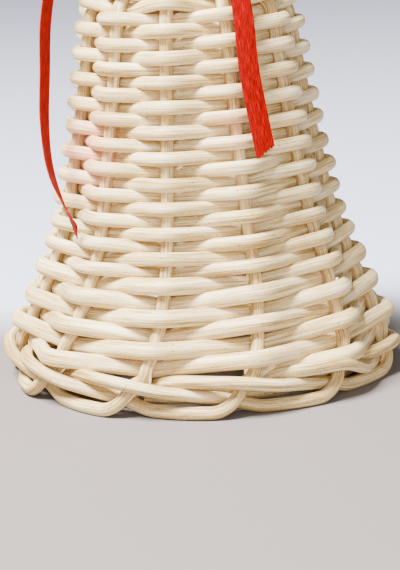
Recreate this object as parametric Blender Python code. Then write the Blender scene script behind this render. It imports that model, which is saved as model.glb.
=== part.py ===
# A woven rattan bell ornament that stands on its rim, with a red ribbon bow on its crown.
# Six rods cross at the crown and run down the bell as eleven stakes. One weave of cane spirals
# down over and under them, and below it the stakes turn down into a rolled rod border.
# Metres, +Z up, the rim stands on z = 0 and the axis of the bell is Z. The front faces -Y.
import math

import bmesh
import bpy
import numpy as np
from mathutils import Vector

# Canes
STAKE_CANE = 0.0028        # thickness of the stakes
WEAVER_CANE = 0.00264      # height of the cane woven in the crown and waist
SKIRT_CANE = 0.0035        # height of the thicker cane woven near the rim
FLATTENING = 0.8           # a woven cane's depth as a share of its height
GAP = 0.0003               # clearance between neighbouring canes

# The bell, measured on the line of the stakes
BELL_HEIGHT = 0.104        # of the crossing at the crown
SHOULDER_HEIGHT = 0.084
SHOULDER_RADIUS = 0.0246
WAIST_HEIGHT = 0.071
WAIST_RADIUS = 0.0266
MOUTH_HEIGHT = 0.0085      # where the stakes leave the weave
MOUTH_RADIUS = 0.0451
DOME = (0, 18, 36, 54, 72, 88)   # degrees from the axis, where the dome's outline is set out
# how far the side has flared out, against how far it has come down from waist to mouth
FLARE = ((0.29, 0.187), (0.50, 0.336), (0.65, 0.513), (0.81, 0.725), (0.92, 0.916))

# Stakes
STAKES = 11
FIRST_STAKE = math.radians(-101.9)
HAND_SPACING = (-0.5, 0.2, 1.8, 0.8, -1.2, 0.9, -0.6, 1.1, 1.9, 3.4, 1.2)   # degrees
LEAN_HEIGHT = 0.035        # below this the stakes lean along the rim, in stake intervals:
LEAN_AT_MOUTH = 0.20
LEAN_AT_BORDER = 0.267
CROSSED_TO = 0.0106        # the rods run straight from the axis to here
FANNED_TO = 0.0205         # and are evenly spread from here on

# Weave
BINDING_RADIUS = 0.0074    # first turn of the weaver around the crossing
BINDING_TURNS = 2
BOUND_WIDTH = 1.3          # where the weaver turns over the rods' edge, in cane thicknesses
FIRST_ROW = 0.0172         # along the side, from the crown's centre
FIRST_WOVEN = 2            # the stake that the weaver passes first
CROWN_END = 0.0480         # along the side, where the crown's weaver is cut
SKIRT_START = 0.0908       # along the side, where the thicker cane takes over
LAST_ROW_ABOVE_MOUTH = 0.0027   # from the middle of its cane

# Border, along one stake: stake intervals run along the rim, then how far it lies outside
# the mouth and above the ground, both in cane thicknesses
BORDER = (
    (0.01, 0.05, 2.09),
    (0.10, 0.59, 0.93),
    (0.28, 0.65, 0.00),
    (0.56, 0.38, 0.00),
    (0.85, -0.04, 0.00),
    (1.14, -0.36, 0.66),
    (1.44, 0.14, 1.22),
    (1.74, 0.75, 1.69),
    (2.04, 1.03, 2.23),
    (2.35, 0.62, 2.38),
    (2.67, -0.30, 2.19),
    (2.96, -1.20, 1.60),
    (3.18, -1.65, 1.20),
)

# Ring and ribbon
RING_RADIUS = 0.0066       # to the middle of its cane
RING_CANE = 0.0022
RIBBON_WIDTH = 0.005
RIBBON_THICKNESS = 0.0006
KNOT_SIZE = (0.0066, 0.0056, 0.0058)
KNOT_FORWARD = 0.0006      # from the bell's axis
KNOT_ROUNDING = 0.28       # as a share of the knot's least side
LOOP_REACH = 0.0165
LOOP_RISE = 0.0040
LOOP_ROOT = 0.35           # where a loop starts inside the knot, as a share of the knot's width
LOOP_ENDS = (0.15, -0.25)  # how high its two ends lie there, as a share of its rise
# the loop between them: out as a share of its reach, forward, and up as a share of its rise
LOOP = ((0.5, 0.001, 1.1), (0.85, 0.0015, 1.25), (1, 0.0015, 0.55), (0.85, 0.0005, -0.1),
        (0.5, 0, -0.35))
TAIL_TILT = 1.2            # how strongly the right tail faces up above the shoulder

MM = 0.001
STAKE_SIDES = 6
SHARP_EDGE = math.radians(75)
SIDE_STEPS = 12            # steps of the bell's outline between two of its points
ROD_STEPS = 6              # and of a rod's line
ROD_SPACING = 0.004        # between the points that a rod's line is drawn through
ROD_TOLERANCE = 0.0002     # how near a rod's straight facets keep to its curve
INTERVAL = 2 * math.pi / STAKES
CANE_PITCH = STAKE_CANE + GAP
RIM_LEVEL = STAKE_CANE / 2 * math.cos(math.pi / STAKE_SIDES)
BOUND_TO = BINDING_RADIUS + BINDING_TURNS * (WEAVER_CANE + GAP) + WEAVER_CANE / 2


def smooth_curve(points, steps):
    # a curve through the points, with so many steps between each two
    points = [np.array(p, float) for p in points]
    padded = [2 * points[0] - points[1]] + points + [2 * points[-1] - points[-2]]
    line = []
    for a, b, c, d in zip(padded, padded[1:], padded[2:], padded[3:]):
        for k in range(steps):
            t = k / steps
            line.append(0.5 * (2 * b + (c - a) * t + (2 * a - 5 * b + 4 * c - d) * t ** 2
                               + (3 * b - a - 3 * c + d) * t ** 3))
    return np.array(line + [points[-1]])


def ease(value, start, end):
    t = min(max((value - start) / (end - start), 0.0), 1.0)
    return t * t * (3 - 2 * t)


def thinned(points, within):
    # leaves out the points that lie closer than this to the line through the others
    kept = [0, len(points) - 1]
    spans = [(0, len(points) - 1)]
    while spans:
        first, last = spans.pop()
        if last - first < 2:
            continue
        a, b = points[first], points[last]
        along = (b - a) / np.linalg.norm(b - a)
        inner = points[first + 1:last] - a
        away = np.linalg.norm(inner - np.outer(inner @ along, along), axis=1)
        if away.max() > within:
            middle = first + 1 + int(away.argmax())
            kept.append(middle)
            spans += [(first, middle), (middle, last)]
    return sorted(kept)


# The side of the bell as a line from the crown's centre to the mouth

def side_outline():
    dome = [(SHOULDER_RADIUS * math.sin(t),
             SHOULDER_HEIGHT + (BELL_HEIGHT - SHOULDER_HEIGHT) * math.cos(t))
            for t in (math.radians(a) for a in DOME)]
    flare = [(WAIST_RADIUS + (MOUTH_RADIUS - WAIST_RADIUS) * out,
              WAIST_HEIGHT + (MOUTH_HEIGHT - WAIST_HEIGHT) * down)
             for down, out in ((0, 0),) + FLARE + ((1, 1),)]
    return smooth_curve(dome + flare, SIDE_STEPS)


SIDE = side_outline()
RUN = np.concatenate([[0], np.cumsum(np.linalg.norm(np.diff(SIDE, axis=0), axis=1))])
MOUTH_RUN = RUN[-1]


def on_side(run):
    # radius, height and outward normal (radial, up) of the stake line, so far along the side
    radius = np.interp(run, RUN, SIDE[:, 0])
    height = np.interp(run, RUN, SIDE[:, 1])
    step = 0.001
    ahead, behind = min(run + step, MOUTH_RUN), max(run - step, 0)
    outward = np.interp(ahead, RUN, SIDE[:, 0]) - np.interp(behind, RUN, SIDE[:, 0])
    down = np.interp(behind, RUN, SIDE[:, 1]) - np.interp(ahead, RUN, SIDE[:, 1])
    length = math.hypot(outward, down)
    return radius, height, down / length, outward / length


# Stakes. The rods cross in two layers: three over, and two and a half under.

CROSSING = (
    # stake at one end, stake at the other, place across the crossing, layer
    (2, 6, 1, 1),
    (1, 7, 0, 1),
    (0, 8, -1, 1),
    (5, 9, 1, -1),
    (3, 10, -1, -1),
    (4, None, 0, -1),
)
UPPER_DIRECTION = FIRST_STAKE + INTERVAL + INTERVAL / 4


def stake_base(stake):
    return FIRST_STAKE + stake * INTERVAL


def crossing_frame(stake):
    # direction of a stake's group at the crown, its place across the group and its layer
    for one, other, place, layer in CROSSING:
        turn = UPPER_DIRECTION + (0 if layer > 0 else math.pi / 2)
        if stake == one:
            return turn, place * CANE_PITCH, layer
        if stake == other:
            return turn + math.pi, -place * CANE_PITCH, layer


def stake_angle(stake, run):
    turn, across, _ = crossing_frame(stake)
    radius, height, _, _ = on_side(run)
    start = turn + math.atan2(across, CROSSED_TO)
    spread = (stake_base(stake) - start + math.pi) % (2 * math.pi) - math.pi
    drift = math.radians(HAND_SPACING[stake % len(HAND_SPACING)])
    drift *= ease(run, CROSSED_TO, 2 * FANNED_TO) * (1 - ease(-height, -LEAN_HEIGHT, -MOUTH_HEIGHT))
    down = min(max((LEAN_HEIGHT - height) / (LEAN_HEIGHT - MOUTH_HEIGHT), 0), 1)
    lean = LEAN_AT_MOUTH * down ** 2 * INTERVAL
    return start + spread * ease(run, CROSSED_TO, FANNED_TO) + drift - lean


def stake_point(stake, run):
    # the stake's centre and its outward normal, so far along the side
    turn, across, layer = crossing_frame(stake)
    lift = layer * CANE_PITCH / 2 * (1 - ease(run, BOUND_TO, FIRST_ROW))
    radius, height, out, up = on_side(abs(run))
    radius += (math.hypot(CROSSED_TO, across) - CROSSED_TO) * (1 - ease(run, CROSSED_TO, FANNED_TO))
    if run < CROSSED_TO:
        height = on_side(math.hypot(run, across))[1]
        x = run * math.cos(turn) - across * math.sin(turn)
        y = run * math.sin(turn) + across * math.cos(turn)
        return np.array([x, y, height + lift]), np.array([0, 0, 1.0])
    angle = stake_angle(stake, run)
    normal = np.array([out * math.cos(angle), out * math.sin(angle), up])
    return np.array([radius * math.cos(angle), radius * math.sin(angle), height + lift]), normal


def border_points(stake):
    points = []
    for along, outside, above in BORDER:
        angle = stake_base(stake) - (LEAN_AT_BORDER + along) * INTERVAL
        radius = MOUTH_RADIUS + outside * CANE_PITCH
        points.append(np.array([radius * math.cos(angle), radius * math.sin(angle),
                                RIM_LEVEL + above * CANE_PITCH]))
    return points


def stake_leg(stake, start):
    runs = np.linspace(start, MOUTH_RUN, int((MOUTH_RUN - start) / ROD_SPACING) + 1)
    points = [stake_point(stake, run)[0] for run in runs] + border_points(stake)
    line = smooth_curve(points, ROD_STEPS)
    line[:, 2] = np.maximum(line[:, 2], RIM_LEVEL)
    return line


def outward_at(point):
    # the bell's outward direction near a point: up at the crown, level at the rim
    radius = max(math.hypot(point[0], point[1]), 1e-6)
    out = ease(radius, 0, SHOULDER_RADIUS) if point[2] > SHOULDER_HEIGHT else 1
    up = 1 - ease(-point[2], -BELL_HEIGHT, -SHOULDER_HEIGHT)
    direction = np.array([out * point[0] / radius, out * point[1] / radius, up + 1e-6])
    return direction / np.linalg.norm(direction)


# Meshes

def link(name, mesh):
    piece = bpy.data.objects.new(name, mesh)
    bpy.context.scene.collection.objects.link(piece)
    return piece


def swept(name, line, outward, section):
    # a closed bar of this section, given as (outward, sideways) offsets, along the line
    mesh = bpy.data.meshes.new(name)
    bm = bmesh.new()
    rings = []
    for k, point in enumerate(line):
        before, after = line[max(k - 1, 0)], line[min(k + 1, len(line) - 1)]
        along = Vector(after - before)
        if point[2] <= RIM_LEVEL:
            along.z = 0      # a rod that rests on the ground has a level underside
        along.normalize()
        out = Vector(outward[k])
        out = (out - along * out.dot(along)).normalized()
        side = along.cross(out)
        shape = section(k) if callable(section) else section
        rings.append([bm.verts.new(Vector(point) + out * o + side * s) for o, s in shape])
    for ring, following in zip(rings, rings[1:]):
        for a, b, c, d in zip(ring, ring[1:] + ring[:1], following, following[1:] + following[:1]):
            bm.faces.new((a, b, d, c))
    bm.faces.new(rings[0][::-1])
    bm.faces.new(rings[-1])
    bmesh.ops.recalc_face_normals(bm, faces=bm.faces)
    bm.to_mesh(mesh)
    bm.free()
    mesh.shade_smooth()
    mesh.set_sharp_from_angle(angle=SHARP_EDGE)
    return link(name, mesh)


def round_section(thickness, sides):
    return [(thickness / 2 * math.cos(2 * math.pi * k / sides),
             thickness / 2 * math.sin(2 * math.pi * k / sides)) for k in range(sides)]


def make_stakes():
    rods = []
    for number, (one, other, _, _) in enumerate(CROSSING):
        if other is None:
            line = stake_leg(one, -1.5 * CANE_PITCH)
        else:
            line = np.concatenate([stake_leg(one, 0)[::-1], stake_leg(other, 0)[1:]])
        line = line[thinned(line, ROD_TOLERANCE)]
        outward = [outward_at(p) for p in line]
        rods.append(swept(f"stake_rod_{number + 1}", line, outward,
                          round_section(STAKE_CANE, STAKE_SIDES)))
    return rods


# Weave

def weave_levels():
    # how far down the side each crossing of weaver and stake lies, and the cane's height there
    runs, canes = [], []
    while not runs or runs[-1] < MOUTH_RUN - LAST_ROW_ABOVE_MOUTH:
        crossing = len(runs)
        cane = SKIRT_CANE if runs and runs[-1] > SKIRT_START else WEAVER_CANE
        if crossing < STAKES:
            run = FIRST_ROW + crossing * (cane + GAP) / STAKES
        else:
            above = crossing - STAKES
            run = runs[above] + (canes[above] + cane) / 2 + GAP
        runs.append(run)
        canes.append(cane)
    return runs, canes


def weave_crossing(crossing, run, cane):
    # the weaver's points where it passes a stake, outside and inside in turn
    stake = (FIRST_WOVEN - crossing) % STAKES
    centre, normal = stake_point(stake, run)
    side = 1 if crossing % 2 else -1
    reach = side * (STAKE_CANE / 2 + GAP + cane * FLATTENING / 2)
    middle = centre + normal * reach
    if side < 0:
        return [middle], [normal]
    onward = np.cross(normal, [0, 0, 1.0])
    onward = onward / np.linalg.norm(onward) * STAKE_CANE / 2
    return [middle - onward, middle + onward], [normal, normal]


def binding():
    # the weaver's first turns, under the upper rods and over the lower ones
    points = []
    rise = CANE_PITCH / 2 - STAKE_CANE / 2 + GAP + WEAVER_CANE * FLATTENING / 2
    edge = math.asin(BOUND_WIDTH * CANE_PITCH / BINDING_RADIUS)
    for quarter in range(4 * BINDING_TURNS):
        level = rise if quarter % 2 else -rise
        for turn, height in ((edge, level), (0, level), (-edge, level), (-math.pi / 4, 0)):
            turned = quarter * math.pi / 2 - turn
            radius = BINDING_RADIUS + turned / (2 * math.pi) * (WEAVER_CANE + GAP)
            angle = UPPER_DIRECTION - turned
            points.append(np.array([radius * math.cos(angle), radius * math.sin(angle),
                                    on_side(radius)[1] + height]))
    return points[:-1]


def make_weave():
    runs, canes = weave_levels()
    lengths = {"weaver_crown": [], "weaver_waist": [], "weaver_skirt": []}
    for crossing, (run, cane) in enumerate(zip(runs, canes)):
        name = "weaver_crown" if run < CROWN_END else "weaver_waist"
        name = "weaver_skirt" if cane == SKIRT_CANE else name
        lengths[name].append((crossing, run, cane))
    pieces = []
    for name, crossings in lengths.items():
        line = binding() if name == "weaver_crown" else []
        outward = [np.array([0, 0, 1.0])] * len(line)
        for crossing, run, cane in crossings:
            points, normals = weave_crossing(crossing, run, cane)
            line += points
            outward += normals
        cane = crossings[0][2]
        section = [(cane * FLATTENING / 2, 0), (0, cane / 2),
                   (-cane * FLATTENING / 2, 0), (0, -cane / 2)]
        pieces.append(swept(name, line, outward, section))
    return pieces


# Ring and ribbon

CROWN_TOP = BELL_HEIGHT + CANE_PITCH / 2 + STAKE_CANE / 2
RING_CENTRE = CROWN_TOP + GAP + RING_CANE / 2 + RING_RADIUS
KNOT_CENTRE = Vector((0, -KNOT_FORWARD, CROWN_TOP + GAP + KNOT_SIZE[2] / 2))


def ring_at(name, thickness):
    bpy.ops.mesh.primitive_torus_add(major_radius=RING_RADIUS, minor_radius=thickness / 2,
                                     major_segments=18, minor_segments=6,
                                     location=(0, 0, RING_CENTRE), rotation=(math.pi / 2, 0, 0))
    ring = bpy.context.object
    ring.name = name
    ring.data.shade_smooth()
    return ring


def ribbon_section():
    return [(RIBBON_THICKNESS / 2, RIBBON_WIDTH / 2), (-RIBBON_THICKNESS / 2, RIBBON_WIDTH / 2),
            (-RIBBON_THICKNESS / 2, -RIBBON_WIDTH / 2), (RIBBON_THICKNESS / 2, -RIBBON_WIDTH / 2)]


def bow_loop(name, hand):
    # one loop of the bow, which starts and ends inside the knot
    x, y, z = KNOT_CENTRE
    start, end = ((KNOT_SIZE[0] * LOOP_ROOT, 0, LOOP_RISE * up) for up in LOOP_ENDS)
    middle = [(LOOP_REACH * out, -forward, LOOP_RISE * up) for out, forward, up in LOOP]
    line = smooth_curve([(x + hand * px, y + py, z + pz)
                         for px, py, pz in (start, *middle, end)], 2)
    outward = []
    for k in range(len(line)):
        along = line[min(k + 1, len(line) - 1)] - line[max(k - 1, 0)]
        outward.append(np.cross(along, (0, 1.0, 0)))
    return swept(name, line, outward, ribbon_section())


def add_boolean(piece, other, operation):
    cut = piece.modifiers.new(operation.title(), "BOOLEAN")
    cut.object = other
    cut.operation = operation
    cut.solver = "EXACT"
    other.hide_render = True
    other.display_type = "WIRE"


def make_bow():
    bpy.ops.mesh.primitive_cube_add(size=1, location=KNOT_CENTRE)
    knot = bpy.context.object
    knot.name = "ribbon_bow"
    for vertex in knot.data.vertices:
        vertex.co = Vector(c * s for c, s in zip(vertex.co, KNOT_SIZE))
    rounding = knot.modifiers.new("Rounding", "BEVEL")
    rounding.width = min(KNOT_SIZE) * KNOT_ROUNDING
    rounding.segments = 1
    for hand, name in ((-1, "bow_loop_left"), (1, "bow_loop_right")):
        add_boolean(knot, bow_loop(name, hand), "UNION")
    add_boolean(knot, ring_at("ring_clearance", RING_CANE + 2 * GAP), "DIFFERENCE")
    return knot


# where the tails run: mm across, forward and up, all from the knot's centre
LEFT_TAIL = ((-6.0, 3.6, -2.4), (-14.0, 6.4, 1.5), (-23.0, 8.5, 1.0), (-30.2, 10.0, -8.0),
             (-33.4, 11.5, -20.0), (-34.4, 13.0, -33.0), (-35.0, 16.5, -45.0),
             (-33.6, 21.0, -57.0), (-28.2, 25.9, -69.4))
LEFT_FACING = (80, 70, 50, 30, 26, 24, 20, 8, -24)        # degrees from facing straight left
RIGHT_TAIL = ((3.4, 4.4, -2.6), (7.5, 14.0, -1.8), (10.8, 22.0, -8.5), (12.6, 27.0, -20.0),
              (13.4, 30.4, -32.0), (14.9, 32.4, -42.0), (16.4, 34.0, -50.8))


def tail_line(route):
    return smooth_curve([(x * MM, -forward * MM, KNOT_CENTRE.z + up * MM)
                         for x, forward, up in route], 3)


def make_tails():
    left = tail_line(LEFT_TAIL)
    turns = smooth_curve([(math.radians(a),) for a in LEFT_FACING], 3)
    facing = []
    for k, (turn,) in enumerate(turns):
        along = left[min(k + 1, len(left) - 1)] - left[max(k - 1, 0)]
        flat = np.cross(along / np.linalg.norm(along), (0, -1.0, 0))
        flat = flat / np.linalg.norm(flat)
        facing.append(flat * math.cos(turn) + np.array([0, 1.0, 0]) * math.sin(turn))
    right = tail_line(RIGHT_TAIL)
    outward = [np.array([p[0], p[1], max(p[2] - SHOULDER_HEIGHT, 0) * TAIL_TILT]) for p in right]
    return [swept("ribbon_tail_left", left, facing, ribbon_section()),
            swept("ribbon_tail_right", right, outward, ribbon_section())]


def coloured(name, colour, roughness):
    material = bpy.data.materials.new(name)
    material.use_nodes = True
    shader = material.node_tree.nodes["Principled BSDF"]
    shader.inputs["Base Color"].default_value = (*colour, 1)
    shader.inputs["Roughness"].default_value = roughness
    shader.inputs["Metallic"].default_value = 0
    return material


def main():
    for old in list(bpy.data.objects):
        bpy.data.objects.remove(old)
    for rod in make_stakes():
        rod.data.materials.append(coloured(rod.name + "_cane", (0.74, 0.64, 0.49), 0.55))
    for weaver in make_weave():
        weaver.data.materials.append(coloured(weaver.name + "_cane", (0.78, 0.70, 0.56), 0.5))
    ring = ring_at("hanging_ring", RING_CANE)
    ring.data.materials.append(coloured("ring_cane", (0.70, 0.60, 0.44), 0.55))
    bow = make_bow()
    bow.data.materials.append(coloured("bow_satin", (0.55, 0.01, 0.01), 0.35))
    for tail in make_tails():
        tail.data.materials.append(coloured(tail.name + "_satin", (0.55, 0.01, 0.01), 0.35))


main()
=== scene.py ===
import math

import bmesh
import bpy
import numpy as np
from mathutils import Matrix, Vector


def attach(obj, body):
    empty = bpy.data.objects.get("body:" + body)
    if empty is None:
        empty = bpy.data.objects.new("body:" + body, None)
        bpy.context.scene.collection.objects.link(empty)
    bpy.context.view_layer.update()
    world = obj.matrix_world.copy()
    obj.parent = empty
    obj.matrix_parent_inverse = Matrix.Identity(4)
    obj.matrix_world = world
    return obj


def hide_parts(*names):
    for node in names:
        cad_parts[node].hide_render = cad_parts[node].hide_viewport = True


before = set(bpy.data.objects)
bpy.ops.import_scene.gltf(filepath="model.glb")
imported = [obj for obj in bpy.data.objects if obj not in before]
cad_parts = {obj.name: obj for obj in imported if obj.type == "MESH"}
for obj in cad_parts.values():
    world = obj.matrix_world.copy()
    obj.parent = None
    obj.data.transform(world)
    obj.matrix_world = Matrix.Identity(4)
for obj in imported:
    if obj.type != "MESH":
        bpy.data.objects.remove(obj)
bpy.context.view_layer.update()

metres = 0.001
rng = np.random.default_rng(11)     # for the weave's unevenness
print("frame loaded:", ", ".join(sorted(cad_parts)))


# Camera, at the photograph's angle

cameraSetting = {
    "frame": (400, 570),        # pixels of the photograph
    "distance": 500,            # from the bell's axis
    "elevation": 14.1,          # degrees above the table
    "roll": -2.6,               # the photograph leans a little
    "pixelsPerMm": 4.0,         # at the bell's axis
    "aim": (0.0, 0.0, 20.2),
    "sensor": 36, "clipStart": 0.01,
}


def makeCamera():
    s = cameraSetting
    rise = math.radians(s["elevation"])
    back = Vector((0, -math.cos(rise), math.sin(rise)))
    camera = bpy.data.objects.new("camera", bpy.data.cameras.new("camera"))
    bpy.context.scene.collection.objects.link(camera)
    camera.data.sensor_width = s["sensor"]
    camera.data.lens = s["pixelsPerMm"] * s["distance"] * s["sensor"] / max(s["frame"])
    camera.data.clip_start = s["clipStart"]
    turn = (-back).to_track_quat("-Z", "Y").to_matrix().to_4x4()
    turn = turn @ Matrix.Rotation(math.radians(s["roll"]), 4, "Z")
    place = (Vector(s["aim"]) + back * s["distance"]) * metres
    camera.matrix_world = Matrix.Translation(place) @ turn
    bpy.context.scene.camera = camera


makeCamera()
print("camera placed")


# Curves

def ease(value, start, end):
    t = np.clip((value - start) / (end - start), 0, 1)
    return t * t * (3 - 2 * t)


def smoothCurve(points, steps):
    points = [np.array(p, float) for p in points]
    padded = [2 * points[0] - points[1]] + points + [2 * points[-1] - points[-2]]
    line = []
    for a, b, c, d in zip(padded, padded[1:], padded[2:], padded[3:]):
        for k in range(steps):
            t = k / steps
            line.append(0.5 * (2 * b + (c - a) * t + (2 * a - 5 * b + 4 * c - d) * t ** 2
                               + (3 * b - a - 3 * c + d) * t ** 3))
    return np.array(line + [points[-1]])


def unit(vectors):
    return vectors / np.maximum(np.linalg.norm(vectors, axis=-1, keepdims=True), 1e-9)


def runAlong(line):
    return np.concatenate([[0], np.cumsum(np.linalg.norm(np.diff(line, axis=0), axis=1))])


def evenly(line, outward, spacing):
    # the same line with its points evenly spaced, and its outward directions with it
    run = runAlong(line)
    at = np.linspace(0, run[-1], max(int(run[-1] / spacing), 2) + 1)
    line, outward = (np.stack([np.interp(at, run, values[:, k]) for k in range(3)], axis=1)
                     for values in (line, outward))
    return line, unit(outward)


def bent(line, stiffness, spacing):
    # cane can't turn a sharp corner: each point becomes the mean of those around it
    reach = int(3 * stiffness / spacing)
    weights = np.exp(-0.5 * (np.arange(-reach, reach + 1) * spacing / stiffness) ** 2)
    weights /= weights.sum()
    before = 2 * line[0] - line[reach:0:-1]
    beyond = 2 * line[-1] - line[-2:-reach - 2:-1]
    padded = np.concatenate([before, line, beyond])
    return np.stack([np.convolve(padded[:, k], weights, "valid") for k in range(3)], axis=1)


# The bell's side, as in the solids: a line from the crown's centre to the mouth

bell = {
    "height": 104, "shoulderHeight": 84, "shoulderRadius": 24.6,
    "waistHeight": 71, "waistRadius": 26.6, "mouthHeight": 8.5, "mouthRadius": 45.1,
    "dome": (0, 18, 36, 54, 72, 88),
    "flare": ((0.29, 0.187), (0.50, 0.336), (0.65, 0.513), (0.81, 0.725), (0.92, 0.916)),
    "stakes": 11, "firstStake": math.radians(-101.9),
    "handSpacing": (-0.5, 0.2, 1.8, 0.8, -1.2, 0.9, -0.6, 1.1, 1.9, 3.4, 1.2),
    "leanHeight": 35, "leanAtMouth": 0.20, "leanAtBorder": 0.267,
    "crossedTo": 10.6, "fannedTo": 20.5, "boundTo": 14.6,
    "pitch": 3.1,               # between crossing canes, as the solids have it
    "steps": 12,                # of the side's line between two of its points
    "slopeWithin": 1,           # mm up and down the side that its slope is taken over
}
interval = 2 * math.pi / bell["stakes"]


def sideOutline():
    b = bell
    dome = [(b["shoulderRadius"] * math.sin(t),
             b["shoulderHeight"] + (b["height"] - b["shoulderHeight"]) * math.cos(t))
            for t in (math.radians(a) for a in b["dome"])]
    flare = [(b["waistRadius"] + (b["mouthRadius"] - b["waistRadius"]) * out,
              b["waistHeight"] + (b["mouthHeight"] - b["waistHeight"]) * down)
             for down, out in ((0, 0),) + b["flare"] + ((1, 1),)]
    return smoothCurve(dome + flare, b["steps"])


side = sideOutline()
sideRun = runAlong(side)
mouthRun = sideRun[-1]


def onSide(run):
    # radius, height and the outward normal's two parts, so far down the side
    radius = np.interp(run, sideRun, side[:, 0])
    height = np.interp(run, sideRun, side[:, 1])
    ahead = min(run + bell["slopeWithin"], mouthRun)
    behind = max(run - bell["slopeWithin"], 0)
    outward = np.interp(ahead, sideRun, side[:, 0]) - np.interp(behind, sideRun, side[:, 0])
    down = np.interp(behind, sideRun, side[:, 1]) - np.interp(ahead, sideRun, side[:, 1])
    length = math.hypot(outward, down)
    return radius, height, down / length, outward / length


# Stakes: three rods over and two and a half under, crossing at the crown

crossing = (
    # stake at one end, stake at the other, place across the crossing, layer
    (2, 6, 1, 1), (1, 7, 0, 1), (0, 8, -1, 1),
    (5, 9, 1, -1), (3, 10, -1, -1), (4, None, 0, -1),
)
upperDirection = bell["firstStake"] + interval * 1.25


def crossingFrame(stake):
    for one, other, place, layer in crossing:
        turn = upperDirection + (0 if layer > 0 else math.pi / 2)
        if stake == one:
            return turn, place * bell["pitch"], layer
        if stake == other:
            return turn + math.pi, -place * bell["pitch"], layer


def stakeAngle(stake, run):
    b = bell
    turn, across, _ = crossingFrame(stake)
    height = onSide(run)[1]
    start = turn + math.atan2(across, b["crossedTo"])
    spread = (b["firstStake"] + stake * interval - start + math.pi) % (2 * math.pi) - math.pi
    drift = math.radians(b["handSpacing"][stake]) * ease(run, b["crossedTo"], 2 * b["fannedTo"])
    drift *= 1 - ease(-height, -b["leanHeight"], -b["mouthHeight"])
    down = np.clip((b["leanHeight"] - height) / (b["leanHeight"] - b["mouthHeight"]), 0, 1)
    return start + spread * ease(run, b["crossedTo"], b["fannedTo"]) + drift \
        - b["leanAtMouth"] * down ** 2 * interval


def stakePoint(stake, run):
    # the stake's centre and its outward normal, so far down the side
    b = bell
    turn, across, layer = crossingFrame(stake)
    lift = layer * b["pitch"] / 2 * (1 - ease(run, b["boundTo"], weave["firstRow"]))
    radius, height, out, up = onSide(abs(run))
    radius += (math.hypot(b["crossedTo"], across) - b["crossedTo"]) \
        * (1 - ease(run, b["crossedTo"], b["fannedTo"]))
    if run < b["crossedTo"]:
        height = onSide(math.hypot(run, across))[1]
        x = run * math.cos(turn) - across * math.sin(turn)
        y = run * math.sin(turn) + across * math.cos(turn)
        return np.array([x, y, height + lift]), np.array([0, 0, 1.0])
    angle = stakeAngle(stake, run)
    normal = np.array([out * math.cos(angle), out * math.sin(angle), up])
    return np.array([radius * math.cos(angle), radius * math.sin(angle), height + lift]), normal


# The weave's levels, as in the solids

weave = {
    "firstRow": 17.2, "firstWoven": 2,
    "lastRowAboveMouth": 0.45,  # the solids' last row stops sooner, for want of room
    "crownEnd": 48.0, "skirtStart": 90.8,
    "pitchCane": 2.64, "pitchSkirt": 3.5, "gap": 0.3,        # what the rows are spaced by
    "cane": (3.3, 2.8), "skirt": (4.15, 3.3),                 # seen height and depth
    "stake": 3.1, "push": 0.55,                               # a weaver pushes its stake aside
    "pushFades": 3,             # mm above the first row and below the last one
    "outerBend": 0.25, "spacing": 0.4, "stiffness": 1.25, "unevenRows": 0.14, "unevenDepth": 0.1,
    "holdOutside": 0.5, "holdInside": 0.3,                    # of a stake, on each side of it
    "bindingRadius": 7.4, "bindingTurns": 2, "boundWidth": 1.3, "bindingGap": 0.05,
    "tuck": 2.4,                # how far inside its neighbour a length's end lies
    "seeds": (20, 21, 22),      # of the three lengths' ridges and fibres
}


def weaveLevels():
    w = weave
    runs, canes = [], []
    while not runs or runs[-1] < mouthRun - w["lastRowAboveMouth"]:
        index = len(runs)
        cane = w["pitchSkirt"] if runs and runs[-1] > w["skirtStart"] else w["pitchCane"]
        if index < bell["stakes"]:
            run = w["firstRow"] + index * (cane + w["gap"]) / bell["stakes"]
        else:
            above = index - bell["stakes"]
            run = runs[above] + (canes[above] + cane) / 2 + w["gap"]
        runs.append(run)
        canes.append(cane)
    return runs, canes


levelRuns, levelCanes = weaveLevels()


def pushOf(stake, run):
    # how far the weavers push this stake out (or in) at this run
    w = weave
    own = [k for k in range(len(levelRuns)) if (w["firstWoven"] - k) % bell["stakes"] == stake]
    at = [levelRuns[k] for k in own]
    by = [-w["push"] if k % 2 else w["push"] for k in own]
    at = [at[0] - w["pushFades"]] + at + [at[-1] + w["pushFades"]]
    return np.interp(run, at, [0] + by + [0])


# Meshes

caneSetting = {
    "sides": 18, "spacing": 0.8,
    "grooves": ((5, 0.016, 37), (8, 0.012, 23), (3, 0.020, 61)),   # count, share of radius, mm
    "wander": 0.05,             # radians that the grooves turn by chance from ring to ring
    "swell": ((0.020, 47), (0.015, 17)),                           # share of radius, mm
    "tapered": 0.35,            # what is left of the thickness at a tapered end
    "sharpAngle": math.radians(60),
    "apart": 71.0,              # mm further along that each seed's fibres start
}


def newObject(name, mesh):
    piece = bpy.data.objects.new(name, mesh)
    bpy.context.scene.collection.objects.link(piece)
    return piece


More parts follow.
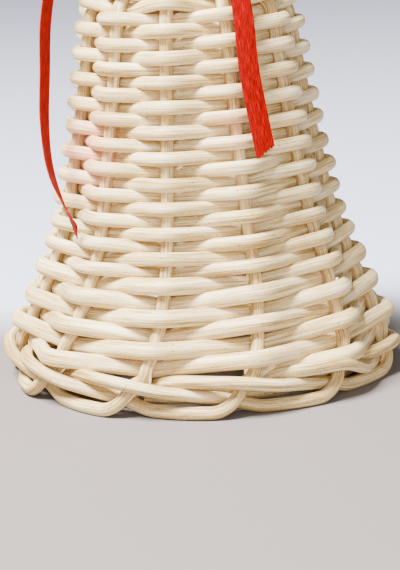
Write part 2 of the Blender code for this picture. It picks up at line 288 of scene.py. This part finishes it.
def sweptCane(name, line, outward, height, depth, taper=(0.0, 0.0), seed=0, closed=False):
    # a round core with shallow lengthwise ridges; straightCane holds each point's place in the
    # same cane pulled straight, so that the material's fibres follow it round its bends
    s = caneSetting
    line, outward = evenly(line, outward, s["spacing"])
    run = runAlong(line)
    along = unit(np.gradient(line, axis=0))
    out = unit(outward - along * np.sum(outward * along, axis=1, keepdims=True))
    across = np.cross(along, out)
    angles = np.linspace(0, 2 * math.pi, s["sides"], endpoint=False)
    random = np.random.default_rng(seed)
    phases = (random.uniform(0, 6), seed)
    swell = 1 + sum(share * np.sin(run / length + phase)
                    for (share, length), phase in zip(s["swell"], phases))
    for length, left in zip(taper, (run, run[-1] - run)):
        if length:
            swell *= np.clip(s["tapered"] + (1 - s["tapered"]) * left / length, 0, 1)
    shape = np.ones((len(line), s["sides"]))
    for count, share, length in s["grooves"]:
        turn = np.cumsum(random.normal(0, s["wander"], len(line))) + run / length
        shape += share * np.cos(count * angles[None, :] + turn[:, None])
    shape *= swell[:, None]
    o = np.cos(angles)[None, :] * shape * depth / 2
    a = np.sin(angles)[None, :] * shape * height / 2
    points = line[:, None] + out[:, None] * o[..., None] + across[:, None] * a[..., None]
    # no two canes have the same fibres
    start = seed * s["apart"]
    straight = np.stack([o, a, np.broadcast_to(run[:, None] + start, o.shape)], axis=-1)
    sides, rows = s["sides"], len(line)
    faces = []
    for r in range(rows if closed else rows - 1):
        below = (r + 1) % rows
        for k in range(sides):
            n = (k + 1) % sides
            faces.append((r * sides + k, r * sides + n, below * sides + n, below * sides + k))
    if not closed:
        faces.append(tuple(range(sides))[::-1])
        faces.append(tuple((rows - 1) * sides + k for k in range(sides)))
    mesh = bpy.data.meshes.new(name)
    mesh.from_pydata((points.reshape(-1, 3) * metres).tolist(), [], faces)
    layer = mesh.attributes.new("straightCane", "FLOAT_VECTOR", "POINT")
    layer.data.foreach_set("vector", straight.reshape(-1).astype(np.float32))
    mesh.shade_smooth()
    mesh.set_sharp_from_angle(angle=s["sharpAngle"])
    return newObject(name, mesh)


# Rods: down the bell as stakes, and turned into the border at its foot

borderRods = {
    # stake intervals along the rim, outside the mouth and above the ground in cane pitches
    "route": ((0.01, 0.05, 2.09), (0.10, 0.59, 0.93), (0.28, 0.65, 0.00), (0.56, 0.38, 0.00),
              (0.85, -0.04, 0.00), (1.14, -0.36, 0.66), (1.44, 0.14, 1.22), (1.74, 0.75, 1.69),
              (2.04, 1.03, 2.23), (2.35, 0.62, 2.38), (2.67, -0.30, 2.19), (2.96, -1.20, 1.40),
              (3.25, -1.55, 0.80), (3.60, -1.50, 0.62), (3.98, -1.50, 0.60)),
    "steps": 8, "legSpacing": 4.0, "spacing": 0.5, "stiffness": 0.9,
    # the last row comes down towards the front right, and presses the border down before it
    "lowest": math.radians(-40), "pressed": 0.26, "pressedWithin": math.radians(230),
    "springsBack": 0.5,         # radians past the lowest place
}


def borderPoints(stake):
    s = borderRods
    points = []
    for along, outside, above in s["route"]:
        angle = bell["firstStake"] + stake * interval - (bell["leanAtBorder"] + along) * interval
        radius = bell["mouthRadius"] + outside * bell["pitch"]
        before = (angle - s["lowest"]) % (2 * math.pi)
        pressed = s["pressed"] * (1 - ease(before, 0, s["pressedWithin"])) \
            * ease(2 * math.pi - before, 0, s["springsBack"])
        points.append(np.array([radius * math.cos(angle), radius * math.sin(angle),
                                weave["stake"] / 2 + above * bell["pitch"] * (1 - pressed)]))
    return points


def stakeLeg(stake, start):
    # the leg's line and its outward directions, from the crown to the border's cut end
    s = borderRods
    runs = np.linspace(start, mouthRun, int((mouthRun - start) / s["legSpacing"]) + 1)
    coarse = [stakePoint(stake, run)[0] for run in runs] + borderPoints(stake)
    line = smoothCurve(coarse, s["steps"])
    outward = []
    for k in range(len(line)):
        place = k / s["steps"]
        if place < len(runs) - 1:
            run = np.interp(place, range(len(runs)), runs)
            normal = stakePoint(stake, max(run, 0))[1]
            line[k] += normal * pushOf(stake, run)
        else:
            normal = unit(line[k] * (1, 1, 0))
        outward.append(normal)
    line[:, 2] = np.maximum(line[:, 2], weave["stake"] / 2)
    return line, np.array(outward)


def makeRods():
    s = borderRods
    rods, legs = [], {}
    for number, (one, other, _, _) in enumerate(crossing):
        if other is None:
            # the half rod starts under the three upper ones
            legs[one] = stakeLeg(one, -1.5 * bell["pitch"])
            line, outward = legs[one]
        else:
            legs[one] = stakeLeg(one, 0)
            legs[other] = stakeLeg(other, 0)
            line, outward = (np.concatenate([first[::-1], second[1:]])
                             for first, second in zip(legs[one], legs[other]))
        line, outward = evenly(line, outward, s["spacing"])
        line = bent(line, s["stiffness"], s["spacing"])
        line[:, 2] = np.maximum(line[:, 2], weave["stake"] / 2)
        rod = sweptCane(f"rattanRod{number + 1}", line, outward, weave["stake"], weave["stake"],
                        seed=number + 1)
        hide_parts(f"stake_rod_{number + 1}")
        rods.append(rod)
    return rods, legs


rods, legs = makeRods()
print("rods bent and border rolled:", len(rods))


sliver = {
    "stake": 0, "rod": 2,                     # that stake is an end of the third rod
    "from": 3.5, "to": 14.5,                  # mm past the mouth
    "height": 0.6, "depth": 0.4, "taper": (3, 2),
    "edge": 1.35, "springs": 1.1, "forward": 0.8, "seed": 7,
}


def joined(name, pieces):
    with bpy.context.temp_override(active_object=pieces[0], selected_editable_objects=pieces):
        bpy.ops.object.join()
    pieces[0].name = name
    return pieces[0]


def splitSliver():
    # the front stake has split where it turns: a sliver stands off its lower side
    s = sliver
    line, outward = legs[s["stake"]]
    run = runAlong(line) - mouthRun
    keep = (run > s["from"]) & (run < s["to"])
    line, outward = line[keep], outward[keep]
    share = np.linspace(0, 1, len(line))[:, None]
    aside = unit(np.cross(np.gradient(line, axis=0), outward))
    away = s["edge"] + s["springs"] * np.sin(math.pi * share) ** 2
    path = line + outward * s["forward"] - aside * away
    path[:, 2] = np.maximum(path[:, 2], s["depth"])
    piece = sweptCane("sliver", path, outward, s["height"], s["depth"], s["taper"], s["seed"])
    joined(rods[s["rod"]].name, [rods[s["rod"]], piece])


splitSliver()
print("front stake split")


# Weavers

def binding():
    # the weaver's first turns, under the upper rods and over the lower ones
    w = weave
    points = []
    rise = w["cane"][1] / 2 + w["bindingGap"]
    edge = math.asin(w["boundWidth"] * bell["pitch"] / w["bindingRadius"])
    for quarter in range(4 * w["bindingTurns"]):
        level = rise if quarter % 2 else -rise
        for turn, height in ((edge, level), (0, level), (-edge, level), (-math.pi / 4, 0)):
            turned = quarter * math.pi / 2 - turn
            radius = w["bindingRadius"] + turned / (2 * math.pi) * (w["pitchCane"] + w["gap"])
            angle = upperDirection - turned
            points.append(np.array([radius * math.cos(angle), radius * math.sin(angle),
                                    onSide(radius)[1] + height]))
    return points[:-1]


def passing(index, depth, tucked=0.0):
    # the weaver's points where it passes a stake, outside and inside in turn
    w = weave
    stake = (w["firstWoven"] - index) % bell["stakes"]
    run = levelRuns[index] + rng.normal(0, w["unevenRows"])
    centre, normal = stakePoint(stake, min(run, mouthRun))
    outside = index % 2 == 1
    reach = w["stake"] / 2 + depth / 2 - w["push"] + rng.normal(0, w["unevenDepth"])
    reach = reach + w["outerBend"] if outside else -reach - tucked
    hold = w["holdOutside"] if outside else w["holdInside"]
    onward = unit(np.cross(normal, [0, 0, 1.0])) * w["stake"] * hold
    middle = centre + normal * reach
    return [middle - onward, middle + onward], [normal, normal]


def makeWeavers():
    w = weave
    lengths = {"crown": [], "waist": [], "skirt": []}
    for index, (run, cane) in enumerate(zip(levelRuns, levelCanes)):
        part = "crown" if run < w["crownEnd"] else "waist"
        part = "skirt" if cane == w["pitchSkirt"] else part
        lengths[part].append(index)
    pieces = []
    for seed, (part, passes) in zip(w["seeds"], lengths.items()):
        height, depth = w["skirt"] if part == "skirt" else w["cane"]
        line = binding() if part == "crown" else []
        outward = [np.array([0, 0, 1.0])] * len(line)
        tucks = []
        # a new length is laid in beside the old one's end, and both are cut inside the bell
        if passes[0] % 2 and not line:
            tucks.append(passes[0] - 1)
        if passes[-1] % 2 and passes[-1] + 1 < len(levelRuns):
            tucks.append(passes[-1] + 1)
        for index in sorted(passes + tucks):
            points, normals = passing(index, depth, w["tuck"] if index in tucks else 0)
            line += points
            outward += normals
        line, outward = evenly(np.array(line), np.array(outward), w["spacing"])
        line = bent(line, w["stiffness"], w["spacing"])
        weaver = sweptCane(f"rattanWeaver{part.title()}", line, outward, height, depth, seed=seed)
        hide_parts(f"weaver_{part}")
        pieces.append(weaver)
    return pieces


weavers = makeWeavers()
print("weave laid in:", len(levelRuns), "passes")


# Hanging ring

ringSetting = {"radius": 6.6, "cane": 2.2, "height": 114.95, "points": 64, "seed": 31}


def makeRing():
    s = ringSetting
    angles = np.linspace(0, 2 * math.pi, s["points"], endpoint=False)
    line = np.stack([s["radius"] * np.sin(angles), 0 * angles,
                     s["height"] - s["radius"] * np.cos(angles)], axis=1)
    outward = unit(line - [0, 0, s["height"]])
    ring = sweptCane("rattanRing", line, outward, s["cane"], s["cane"], seed=s["seed"], closed=True)
    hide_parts("hanging_ring")
    return ring


ring = makeRing()
print("ring made")


# Ribbon

ribbon = {
    "width": 5.0, "thickness": 0.28, "across": 12, "spacing": 0.5,
    "cup": 0.12,                # how far the middle stands off the edges
    "wave": 0.05, "waveLength": 3.1, "waveAcross": 0.4,     # strongest along one edge
    "sharpAngle": math.radians(50),
    "knotCentre": (0, -0.6, 110.15), "knotSize": (6.6, 5.6, 5.8),
    # where the knot's two turns stand to the side in mm, and how far they lean
    "knotTurns": ((-0.55, 0.18), (0.5, -0.12)), "turnSeeds": (22, 23),
    "turnPoints": 40, "turnOpen": 0.25, "turnInset": (0.25, 0.3), "turnCup": 0.3,
    # a loop from the knot and back: share of its reach, mm forward, share of its rise
    "loopReach": 16.5, "loopRise": 4.0, "loopSteps": 8, "loopSeeds": (7, 9),
    "loop": ((0.14, 0, 0.15), (0.5, 1.0, 1.1), (0.85, 1.5, 1.25), (1, 1.5, 0.55),
             (0.85, 0.5, -0.1), (0.5, 0, -0.35), (0.14, 0, -0.25)),
    # mm across and forward from the bell's axis, and up from the knot's centre, as in the solids
    "tailSteps": 6, "tailSeeds": (3, 4),
    "leftTail": ((-6.0, 3.6, -2.4), (-14.0, 6.4, 1.5), (-23.0, 8.5, 1.0), (-30.2, 10.0, -8.0),
                 (-33.4, 11.5, -20.0), (-34.4, 13.0, -33.0), (-35.0, 16.5, -45.0),
                 (-33.6, 21.0, -57.0), (-28.2, 25.9, -69.4)),
    "leftFacing": (80, 70, 50, 30, 26, 24, 20, 8, -24),     # degrees from facing left to facing back
    "rightTail": ((3.4, 4.4, -2.6), (7.5, 14.0, -1.8), (10.8, 22.0, -8.5), (12.6, 27.0, -20.0),
                  (13.4, 30.4, -32.0), (14.9, 32.4, -42.0), (16.4, 34.0, -50.8)),
    "tailTilt": 1.2,                      # the right tail faces up where it leaves the knot
    "leftCut": 2.2, "rightCut": 2.3,      # how much longer one edge is than the other
    "cutWithin": 3, "fray": 0.35,
}


def ribbonStrip(name, line, facing, seed, cut=0.0, fray=0.0, cup=ribbon["cup"]):
    # a thin satin strip; straightRibbon holds each point's place in the ribbon laid flat
    s = ribbon
    line, facing = evenly(line, facing, s["spacing"])
    run = runAlong(line)
    along = unit(np.gradient(line, axis=0))
    face = unit(facing - along * np.sum(facing * along, axis=1, keepdims=True))
    across = np.cross(along, face)
    shares = np.linspace(-0.5, 0.5, s["across"] + 1)
    random = np.random.default_rng(seed)
    ragged = random.uniform(-fray, fray, len(shares))
    rows, columns = len(line), len(shares)
    bm = bmesh.new()
    layer = bm.verts.layers.float_vector.new("straightRibbon")
    grid = []
    for sign in (1, -1):
        sheet = []
        for r in range(rows):
            row = []
            for c, share in enumerate(shares):
                longer = cut * share * ease(run[r], run[-1] - s["cutWithin"], run[-1])
                longer += ragged[c] * (r == rows - 1)
                wave = s["wave"] * math.sin(run[r] / s["waveLength"] + seed) \
                    * (s["waveAcross"] + share)
                offset = cup * (1 - 4 * share ** 2) + wave + sign * s["thickness"] / 2
                point = line[r] + along[r] * longer + across[r] * share * s["width"] \
                    + face[r] * offset
                vert = bm.verts.new(Vector(point * metres))
                vert[layer] = Vector((share * s["width"], sign, run[r]))
                row.append(vert)
            sheet.append(row)
        grid.append(sheet)
    top, under = grid
    for r in range(rows - 1):
        for c in range(columns - 1):
            bm.faces.new((top[r][c], top[r][c + 1], top[r + 1][c + 1], top[r + 1][c]))
            bm.faces.new((under[r][c], under[r + 1][c], under[r + 1][c + 1], under[r][c + 1]))
        bm.faces.new((top[r][0], top[r + 1][0], under[r + 1][0], under[r][0]))
        bm.faces.new((top[r][-1], under[r][-1], under[r + 1][-1], top[r + 1][-1]))
    for c in range(columns - 1):
        bm.faces.new((top[0][c], under[0][c], under[0][c + 1], top[0][c + 1]))
        bm.faces.new((top[-1][c], top[-1][c + 1], under[-1][c + 1], under[-1][c]))
    bmesh.ops.recalc_face_normals(bm, faces=bm.faces)
    mesh = bpy.data.meshes.new(name)
    bm.to_mesh(mesh)
    bm.free()
    mesh.shade_smooth()
    mesh.set_sharp_from_angle(angle=s["sharpAngle"])
    return newObject(name, mesh), line


def tailLine(route):
    points = [(across, -forward, ribbon["knotCentre"][2] + up) for across, forward, up in route]
    return smoothCurve(points, ribbon["tailSteps"])


def makeTails():
    s = ribbon
    left = tailLine(s["leftTail"])
    turns = smoothCurve([(math.radians(a),) for a in s["leftFacing"]], s["tailSteps"])[:, 0]
    along = unit(np.gradient(left, axis=0))
    flat = unit(np.cross(along, (0, -1.0, 0)))
    leftFacing = flat * np.cos(turns)[:, None] + np.array([0, 1.0, 0]) * np.sin(turns)[:, None]
    right = tailLine(s["rightTail"])
    rightFacing = right * (1, 1, 0)
    rightFacing[:, 2] = np.maximum(right[:, 2] - bell["shoulderHeight"], 0) * s["tailTilt"]
    tails = []
    for name, node, line, facing, seed, cut in (
            ("satinTailLeft", "ribbon_tail_left", left, leftFacing, s["tailSeeds"][0], s["leftCut"]),
            ("satinTailRight", "ribbon_tail_right", right, rightFacing, s["tailSeeds"][1],
             s["rightCut"])):
        tail, path = ribbonStrip(name, line, facing, seed, cut, s["fray"])
        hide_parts(node)
        tails.append(tail)
    return tails


def makeBow():
    # two loops, and the ribbon's turn over the knot with its folds
    s = ribbon
    x, y, z = s["knotCentre"]
    parts = []
    for hand, seed in zip((-1, 1), s["loopSeeds"]):
        line = smoothCurve([(x + hand * out * s["loopReach"], y - forward, z + up * s["loopRise"])
                            for out, forward, up in s["loop"]], s["loopSteps"])
        facing = np.cross(unit(np.gradient(line, axis=0)), (0, 1.0, 0)) * hand
        parts.append(ribbonStrip(f"loop{hand}", line, facing, seed)[0])
    width, depth, height = (v / 2 for v in s["knotSize"])
    depth -= s["turnInset"][0]
    height -= s["turnInset"][1]
    turn = np.linspace(s["turnOpen"], 2 * math.pi - s["turnOpen"], s["turnPoints"])
    for (shift, lean), seed in zip(s["knotTurns"], s["turnSeeds"]):
        line = np.stack([x + shift + lean * width * np.cos(turn), y - depth * np.cos(turn),
                         z + height * np.sin(turn)], axis=1)
        facing = line - np.array([x, y, z])
        parts.append(ribbonStrip(f"knotTurn{shift}", line, facing, seed, cup=s["turnCup"])[0])
    bow = joined("satinBow", parts)
    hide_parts("ribbon_bow")
    return bow


tails = makeTails()
bow = makeBow()
print("ribbon tied")


# Materials

def linear(hexColour):
    parts = [int(hexColour[k:k + 2], 16) / 255 for k in (1, 3, 5)]
    return tuple(v / 12.92 if v <= 0.04045 else ((v + 0.055) / 1.055) ** 2.4 for v in parts) + (1,)


def addNode(tree, kind, settings=None, inputs=None, stops=()):
    # a node with its settings; an input is a value, or the output that is linked to it, and
    # stops are the places and colours of a colour ramp
    node = tree.nodes.new(kind)
    for key, value in (settings or {}).items():
        setattr(node, key, value)
    for key, value in (inputs or {}).items():
        if isinstance(value, bpy.types.NodeSocket):
            tree.links.new(value, node.inputs[key])
        else:
            node.inputs[key].default_value = value
    for k, (position, colour) in enumerate(stops):
        elements = node.color_ramp.elements
        element = elements[k] if k < 2 else elements.new(position)
        element.position = position
        element.color = linear(colour)
    return node


def newMaterial(name):
    material = bpy.data.materials.new(name)
    material.use_nodes = True
    tree = material.node_tree
    tree.nodes.clear()
    surface = tree.nodes.new("ShaderNodeBsdfPrincipled")
    output = tree.nodes.new("ShaderNodeOutputMaterial")
    tree.links.new(surface.outputs["BSDF"], output.inputs["Surface"])
    return material, tree, surface


coreSetting = {
    "dark": "#9A7434", "middle": "#DDC084", "pale": "#F4E2BC",
    "speck": "#3E2E22", "blush": "#F09A8C",
    # mm across and along one bundle of fibres, and its share of the tone
    "layers": ((0.16, 9.0, 0.30), (0.30, 14.0, 0.28), (1.7, 24.0, 0.26), (0.16, 0.6, 0.16)),
    "tones": (0.40, 0.50, 0.58),  # where the noise turns from dark to middle to pale
    "speckCells": (0.40, 0.40, 0.30), "speckSize": (0.085, 0.045), "speckShare": 0.85,
    "roughness": 0.50, "ior": 1.50,
    "bump": 0.8, "bumpDepth": 0.10,
    # a pink tint on the cane near the ribbon's tails, in two spheres: centre and radius in mm
    "blushes": (((-27, -17, 58), 17), ((11, -32, 66), 9)), "blushShare": 0.45,
}


def peeledCore(name, deeper=0.0):
    # peeled rattan core, drawn round through a die: matt cream with fine lengthwise fibres,
    # a faint satin sheen on its ridges, small dark specks where vessels end
    s = coreSetting
    material, tree, surface = newMaterial(name)
    place = addNode(tree, "ShaderNodeAttribute", {"attribute_name": "straightCane"}).outputs["Vector"]
    shade = 0.0
    for across, along, share in s["layers"]:
        drawn = addNode(tree, "ShaderNodeMapping", inputs={
            "Vector": place, "Scale": (1 / across, 1 / across, 1 / along)})
        fibres = addNode(tree, "ShaderNodeTexNoise", inputs={
            "Vector": drawn.outputs["Vector"], "Scale": 1.0, "Detail": 2.0, "Roughness": 0.55})
        shade = addNode(tree, "ShaderNodeMath", {"operation": "MULTIPLY_ADD"}, {
            0: fibres.outputs["Fac"], 1: share, 2: shade}).outputs[0]
    # deeper moves every tone darker; the rods' copy uses it as painted shade
    tones = zip((t + deeper for t in s["tones"]), (s["dark"], s["middle"], s["pale"]))
    colour = addNode(tree, "ShaderNodeValToRGB", inputs={"Fac": shade}, stops=tones).outputs["Color"]
    spots = addNode(tree, "ShaderNodeMapping", inputs={"Vector": place, "Scale": s["speckCells"]})
    cells = addNode(tree, "ShaderNodeTexVoronoi", inputs={
        "Vector": spots.outputs["Vector"], "Scale": 1.0, "Randomness": 1.0})
    speck = addNode(tree, "ShaderNodeMapRange", inputs={
        "Value": cells.outputs["Distance"], "From Min": s["speckSize"][0],
        "From Max": s["speckSize"][1], "To Min": 0.0, "To Max": s["speckShare"]})
    mixed = addNode(tree, "ShaderNodeMix", {"data_type": "RGBA"}, {
        0: speck.outputs["Result"], 6: colour, 7: linear(s["speck"])})
    colour = mixed.outputs[2]
    where = addNode(tree, "ShaderNodeTexCoord").outputs["Object"]
    # a pink tint, strongest at each centre and gone at its radius
    for centre, radius in s["blushes"]:
        away = addNode(tree, "ShaderNodeVectorMath", {"operation": "DISTANCE"}, {
            0: where, 1: tuple(v * metres for v in centre)})
        near = addNode(tree, "ShaderNodeMapRange", {"interpolation_type": "SMOOTHSTEP"}, {
            "Value": away.outputs["Value"], "From Min": radius * metres, "From Max": 0.0,
            "To Min": 0.0, "To Max": s["blushShare"]})
        mixed = addNode(tree, "ShaderNodeMix", {"data_type": "RGBA"}, {
            0: near.outputs["Result"], 6: colour, 7: linear(s["blush"])})
        colour = mixed.outputs[2]
    tree.links.new(colour, surface.inputs["Base Color"])
    bump = addNode(tree, "ShaderNodeBump", inputs={
        "Strength": s["bump"], "Distance": s["bumpDepth"] * metres, "Height": shade})
    tree.links.new(bump.outputs["Normal"], surface.inputs["Normal"])
    surface.inputs["Roughness"].default_value = s["roughness"]
    surface.inputs["IOR"].default_value = s["ior"]
    return material


satinSetting = {
    "deep": "#440000", "red": "#860000", "bright": "#D20000", "tones": (0.30, 0.52, 0.78),
    "thread": 0.16, "threadLength": 1 / 0.35, "roughness": 0.60, "ior": 1.54, "specular": 0.04,
    "bump": 0.25, "bumpDepth": 0.03,
}


def satinWeave(name):
    # woven polyester satin: long floats on its face give a sheen along it, fine threads across
    s = satinSetting
    material, tree, surface = newMaterial(name)
    place = addNode(tree, "ShaderNodeAttribute", {"attribute_name": "straightRibbon"}).outputs["Vector"]
    fine = addNode(tree, "ShaderNodeMapping", inputs={
        "Vector": place, "Scale": (1 / s["thread"], 1, 1 / s["threadLength"])})
    threads = addNode(tree, "ShaderNodeTexNoise", inputs={
        "Vector": fine.outputs["Vector"], "Scale": 1.0, "Detail": 3.0, "Roughness": 0.7})
    tones = zip(s["tones"], (s["deep"], s["red"], s["bright"]))
    colour = addNode(tree, "ShaderNodeValToRGB", inputs={"Fac": threads.outputs["Fac"]}, stops=tones)
    tree.links.new(colour.outputs["Color"], surface.inputs["Base Color"])
    bump = addNode(tree, "ShaderNodeBump", inputs={
        "Strength": s["bump"], "Distance": s["bumpDepth"] * metres,
        "Height": threads.outputs["Fac"]})
    tree.links.new(bump.outputs["Normal"], surface.inputs["Normal"])
    surface.inputs["Roughness"].default_value = s["roughness"]
    surface.inputs["IOR"].default_value = s["ior"]
    surface.inputs["Specular IOR Level"].default_value = s["specular"]
    return material


# the rods' copy is darker: painted shade for the gaps where the stakes lie back between the rows
rodMaterial = peeledCore("peeledRattanRod", 0.03)
weaverMaterial = peeledCore("peeledRattanWeaver")
ringMaterial = peeledCore("peeledRattanRing", 0.06)
satinMaterial = satinWeave("redSatinWeave")
for piece in rods:
    piece.data.materials.append(rodMaterial)
for piece in weavers:
    piece.data.materials.append(weaverMaterial)
ring.data.materials.append(ringMaterial)
for piece in tails + [bow]:
    piece.data.materials.append(satinMaterial)
for piece in rods + weavers + [ring, bow] + tails:
    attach(piece, "root")
print("materials set")


# Table and light

studio = {
    "floor": "#7B736F", "behind": "#CBCEDD", "roughness": 0.8,
    "size": 8, "below": 0.00002,        # just below the bell's foot
    "near": 0.022, "far": 0.075,        # where the table's tone turns to the backdrop's: the far tone is lighter partly as its own colour, partly as painted light
    "world": "#EEF0F6", "worldStrength": 0.22,
    # name, place, size and strength in watts
    "lamps": (("key", (-0.34, -0.26, 0.82), 0.4, 58.0), ("front", (0.15, -0.9, 0.25), 0.8, 8.5)),
    "lampsAim": (0, 0, 0.05),
}


def makeStudio():
    s = studio
    bpy.ops.mesh.primitive_plane_add(size=s["size"], location=(0, 0, -s["below"]))
    floor = bpy.context.object
    floor.name = "tableTop"
    material, tree, surface = newMaterial("paperBackdropPaintedLight")
    # the table's colour fades to a lighter tone further back: partly the backdrop's own colour, partly
    # painted light in place of the lamps' fall-off
    where = addNode(tree, "ShaderNodeTexCoord").outputs["Object"]
    split = addNode(tree, "ShaderNodeSeparateXYZ", inputs={0: where})
    share = addNode(tree, "ShaderNodeMapRange", {"interpolation_type": "SMOOTHSTEP"}, {
        "Value": split.outputs["Y"], "From Min": s["near"], "From Max": s["far"]})
    colour = addNode(tree, "ShaderNodeValToRGB", inputs={"Fac": share.outputs["Result"]},
                     stops=((0, s["floor"]), (1, s["behind"])))
    tree.links.new(colour.outputs["Color"], surface.inputs["Base Color"])
    surface.inputs["Roughness"].default_value = s["roughness"]
    floor.data.materials.append(material)
    world = bpy.data.worlds.new("studioAir")
    world.use_nodes = True
    background = world.node_tree.nodes["Background"]
    background.inputs["Color"].default_value = linear(s["world"])
    background.inputs["Strength"].default_value = s["worldStrength"]
    bpy.context.scene.world = world
    for name, place, size, strength in s["lamps"]:
        lamp = bpy.data.objects.new(name, bpy.data.lights.new(name, "AREA"))
        lamp.data.shape = "DISK"
        lamp.data.size = size
        lamp.data.energy = strength
        bpy.context.scene.collection.objects.link(lamp)
        lamp.location = place
        lamp.rotation_mode = "QUATERNION"
        aim = Vector(s["lampsAim"]) - lamp.location
        lamp.rotation_quaternion = aim.to_track_quat("-Z", "Y")


makeStudio()
print("studio lit")
